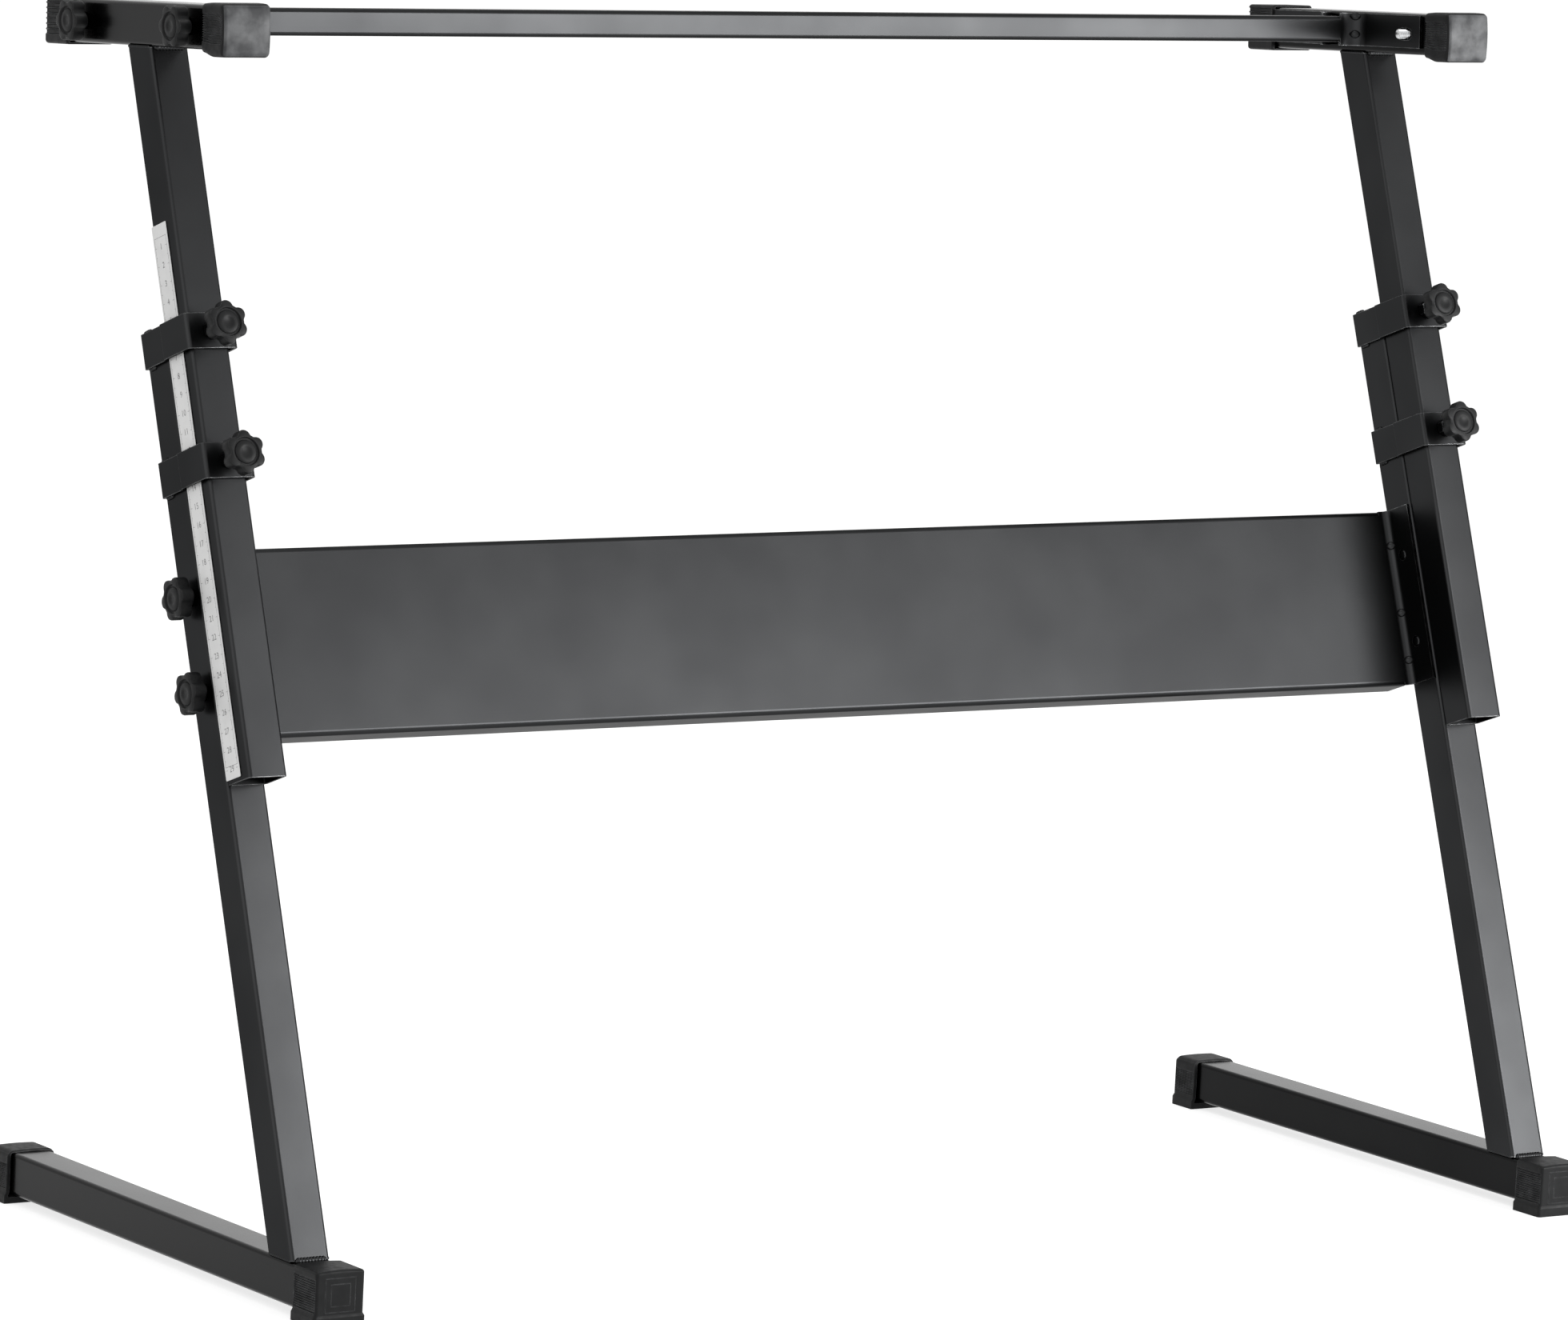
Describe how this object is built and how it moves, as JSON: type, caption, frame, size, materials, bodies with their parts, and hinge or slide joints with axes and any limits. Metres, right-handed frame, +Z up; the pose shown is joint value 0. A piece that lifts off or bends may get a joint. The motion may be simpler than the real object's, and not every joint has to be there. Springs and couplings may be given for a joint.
{
  "type": "keyboard stand",
  "caption": "Z-shaped keyboard stand of square steel tube with sliding, clamped upper posts, a crossbar, a lower panel and capped arms and feet.",
  "frame": {"origin": "on the floor, under the middle of the stand's box", "axes": "+X along the crossbar to the right as seen from the player's side with the clamp knobs, +Y from front to back, +Z up"},
  "size_m": [0.9036, 0.377, 0.7127],
  "materials": {
    "black_steel": "satin black powder coat",
    "black_plastic": "matt moulded plastic",
    "grey_plastic": "matt ribbed plastic",
    "zinc_steel": "bright zinc plate",
    "white_strip": "printed white strip"
  },
  "bodies": {
    "base_frame": {"base_tube_left": "black_steel", "lower_post_left": "black_steel", "foot_front_left": "grey_plastic", "foot_rear_left": "grey_plastic", "clamp_upper_bracket_left": "black_steel", "clamp_upper_nut_left": "black_steel", "clamp_lower_bracket_left": "black_steel", "clamp_lower_nut_left": "black_steel", "base_tube_right": "black_steel", "lower_post_right": "black_steel", "foot_front_right": "grey_plastic", "foot_rear_right": "grey_plastic", "clamp_upper_bracket_right": "black_steel", "clamp_upper_nut_right": "black_steel", "clamp_lower_bracket_right": "black_steel", "clamp_lower_nut_right": "black_steel", "lower_panel": "black_steel"},
    "carriage": {"upper_post_left": "black_steel", "arm_tube_left": "black_steel", "arm_cap_front_left": "grey_plastic", "arm_cap_rear_left": "grey_plastic", "height_scale_left": "white_strip", "upper_post_right": "black_steel", "arm_tube_right": "black_steel", "arm_cap_front_right": "grey_plastic", "arm_cap_rear_right": "grey_plastic", "height_scale_right": "white_strip", "crossbar": "black_steel"},
    "clamp_upper_left_stud": {"clamp_upper_left_stud": "zinc_steel"},
    "clamp_upper_left_knob": {"clamp_upper_left_knob": "black_plastic"},
    "clamp_lower_left_stud": {"clamp_lower_left_stud": "zinc_steel"},
    "clamp_lower_left_knob": {"clamp_lower_left_knob": "black_plastic"},
    "panel_upper_left_stud": {"panel_upper_left_stud": "black_steel"},
    "panel_upper_left_knob": {"panel_upper_left_knob": "black_plastic"},
    "panel_lower_left_stud": {"panel_lower_left_stud": "black_steel"},
    "panel_lower_left_knob": {"panel_lower_left_knob": "black_plastic"},
    "arm_front_left_stud": {"arm_front_left_stud": "zinc_steel"},
    "arm_front_left_knob": {"arm_front_left_knob": "black_plastic"},
    "arm_rear_left_stud": {"arm_rear_left_stud": "zinc_steel"},
    "arm_rear_left_knob": {"arm_rear_left_knob": "black_plastic"},
    "clamp_upper_right_stud": {"clamp_upper_right_stud": "zinc_steel"},
    "clamp_upper_right_knob": {"clamp_upper_right_knob": "black_plastic"},
    "clamp_lower_right_stud": {"clamp_lower_right_stud": "zinc_steel"},
    "clamp_lower_right_knob": {"clamp_lower_right_knob": "black_plastic"},
    "panel_upper_right_stud": {"panel_upper_right_stud": "black_steel"},
    "panel_upper_right_knob": {"panel_upper_right_knob": "black_plastic"},
    "panel_lower_right_stud": {"panel_lower_right_stud": "black_steel"},
    "panel_lower_right_knob": {"panel_lower_right_knob": "black_plastic"},
    "arm_front_right_stud": {"arm_front_right_stud": "zinc_steel"},
    "arm_front_right_knob": {"arm_front_right_knob": "black_plastic"},
    "arm_rear_right_stud": {"arm_rear_right_stud": "zinc_steel"},
    "arm_rear_right_knob": {"arm_rear_right_knob": "black_plastic"}
  },
  "joints": [
    {"name": "height_slide", "type": "slide", "parent": "base_frame", "child": "carriage", "axis": [0, 0.342, 0.9397], "range_m": [-0.14, 0.16]},
    {"name": "clamp_upper_left_out", "type": "slide", "parent": "base_frame", "child": "clamp_upper_left_stud", "axis": [0, -0.9397, 0.342], "range_m": [0, 0.002]},
    {"name": "clamp_upper_left_turn", "type": "hinge", "parent": "clamp_upper_left_stud", "child": "clamp_upper_left_knob", "pos_m": [-0.4275, -0.01335, 0.53174], "axis": [0, -0.9397, 0.342], "range_deg": [0, 720]},
    {"name": "clamp_lower_left_out", "type": "slide", "parent": "base_frame", "child": "clamp_lower_left_stud", "axis": [0, -0.9397, 0.342], "range_m": [0, 0.002]},
    {"name": "clamp_lower_left_turn", "type": "hinge", "parent": "clamp_lower_left_stud", "child": "clamp_lower_left_knob", "pos_m": [-0.4275, -0.03866, 0.4622], "axis": [0, -0.9397, 0.342], "range_deg": [0, 720]},
    {"name": "panel_upper_left_out", "type": "slide", "parent": "base_frame", "child": "panel_upper_left_stud", "axis": [-1, 0, 0], "range_m": [0, 0.002]},
    {"name": "panel_upper_left_turn", "type": "hinge", "parent": "panel_upper_left_stud", "child": "panel_upper_left_knob", "pos_m": [-0.4403, -0.0149, 0.37954], "axis": [-1, 0, 0], "range_deg": [0, 720]},
    {"name": "panel_lower_left_out", "type": "slide", "parent": "base_frame", "child": "panel_lower_left_stud", "axis": [-1, 0, 0], "range_m": [0, 0.002]},
    {"name": "panel_lower_left_turn", "type": "hinge", "parent": "panel_lower_left_stud", "child": "panel_lower_left_knob", "pos_m": [-0.4403, -0.03337, 0.32879], "axis": [-1, 0, 0], "range_deg": [0, 720]},
    {"name": "arm_front_left_out", "type": "slide", "parent": "carriage", "child": "arm_front_left_stud", "axis": [-1, 0, 0], "range_m": [0, 0.002]},
    {"name": "arm_front_left_turn", "type": "hinge", "parent": "arm_front_left_stud", "child": "arm_front_left_knob", "pos_m": [-0.4403, 0.01337, 0.69641], "axis": [-1, 0, 0], "range_deg": [0, 720]},
    {"name": "arm_rear_left_out", "type": "slide", "parent": "carriage", "child": "arm_rear_left_stud", "axis": [-1, 0, 0], "range_m": [0, 0.002]},
    {"name": "arm_rear_left_turn", "type": "hinge", "parent": "arm_rear_left_stud", "child": "arm_rear_left_knob", "pos_m": [-0.4403, 0.13121, 0.69023], "axis": [-1, 0, 0], "range_deg": [0, 720]},
    {"name": "clamp_upper_right_out", "type": "slide", "parent": "base_frame", "child": "clamp_upper_right_stud", "axis": [0, -0.9397, 0.342], "range_m": [0, 0.002]},
    {"name": "clamp_upper_right_turn", "type": "hinge", "parent": "clamp_upper_right_stud", "child": "clamp_upper_right_knob", "pos_m": [0.4275, -0.01335, 0.53174], "axis": [0, -0.9397, 0.342], "range_deg": [0, 720]},
    {"name": "clamp_lower_right_out", "type": "slide", "parent": "base_frame", "child": "clamp_lower_right_stud", "axis": [0, -0.9397, 0.342], "range_m": [0, 0.002]},
    {"name": "clamp_lower_right_turn", "type": "hinge", "parent": "clamp_lower_right_stud", "child": "clamp_lower_right_knob", "pos_m": [0.4275, -0.03866, 0.4622], "axis": [0, -0.9397, 0.342], "range_deg": [0, 720]},
    {"name": "panel_upper_right_out", "type": "slide", "parent": "base_frame", "child": "panel_upper_right_stud", "axis": [1, 0, 0], "range_m": [0, 0.002]},
    {"name": "panel_upper_right_turn", "type": "hinge", "parent": "panel_upper_right_stud", "child": "panel_upper_right_knob", "pos_m": [0.4403, -0.0149, 0.37954], "axis": [1, 0, 0], "range_deg": [0, 720]},
    {"name": "panel_lower_right_out", "type": "slide", "parent": "base_frame", "child": "panel_lower_right_stud", "axis": [1, 0, 0], "range_m": [0, 0.002]},
    {"name": "panel_lower_right_turn", "type": "hinge", "parent": "panel_lower_right_stud", "child": "panel_lower_right_knob", "pos_m": [0.4403, -0.03337, 0.32879], "axis": [1, 0, 0], "range_deg": [0, 720]},
    {"name": "arm_front_right_out", "type": "slide", "parent": "carriage", "child": "arm_front_right_stud", "axis": [1, 0, 0], "range_m": [0, 0.002]},
    {"name": "arm_front_right_turn", "type": "hinge", "parent": "arm_front_right_stud", "child": "arm_front_right_knob", "pos_m": [0.4403, 0.01337, 0.69641], "axis": [1, 0, 0], "range_deg": [0, 720]},
    {"name": "arm_rear_right_out", "type": "slide", "parent": "carriage", "child": "arm_rear_right_stud", "axis": [1, 0, 0], "range_m": [0, 0.002]},
    {"name": "arm_rear_right_turn", "type": "hinge", "parent": "arm_rear_right_stud", "child": "arm_rear_right_knob", "pos_m": [0.4403, 0.13121, 0.69023], "axis": [1, 0, 0], "range_deg": [0, 720]}
  ],
  "couplings": [
    {"joint": "clamp_upper_left_turn", "follows": "clamp_upper_left_out", "rad_per_m": 6282.6},
    {"joint": "clamp_lower_left_turn", "follows": "clamp_lower_left_out", "rad_per_m": 6282.6},
    {"joint": "panel_upper_left_turn", "follows": "panel_upper_left_out", "rad_per_m": 6282.6},
    {"joint": "panel_lower_left_turn", "follows": "panel_lower_left_out", "rad_per_m": 6282.6},
    {"joint": "arm_front_left_turn", "follows": "arm_front_left_out", "rad_per_m": 6282.6},
    {"joint": "arm_rear_left_turn", "follows": "arm_rear_left_out", "rad_per_m": 6282.6},
    {"joint": "clamp_upper_right_turn", "follows": "clamp_upper_right_out", "rad_per_m": 6282.6},
    {"joint": "clamp_lower_right_turn", "follows": "clamp_lower_right_out", "rad_per_m": 6282.6},
    {"joint": "panel_upper_right_turn", "follows": "panel_upper_right_out", "rad_per_m": 6282.6},
    {"joint": "panel_lower_right_turn", "follows": "panel_lower_right_out", "rad_per_m": 6282.6},
    {"joint": "arm_front_right_turn", "follows": "arm_front_right_out", "rad_per_m": 6282.6},
    {"joint": "arm_rear_right_turn", "follows": "arm_rear_right_out", "rad_per_m": 6282.6}
  ]
}
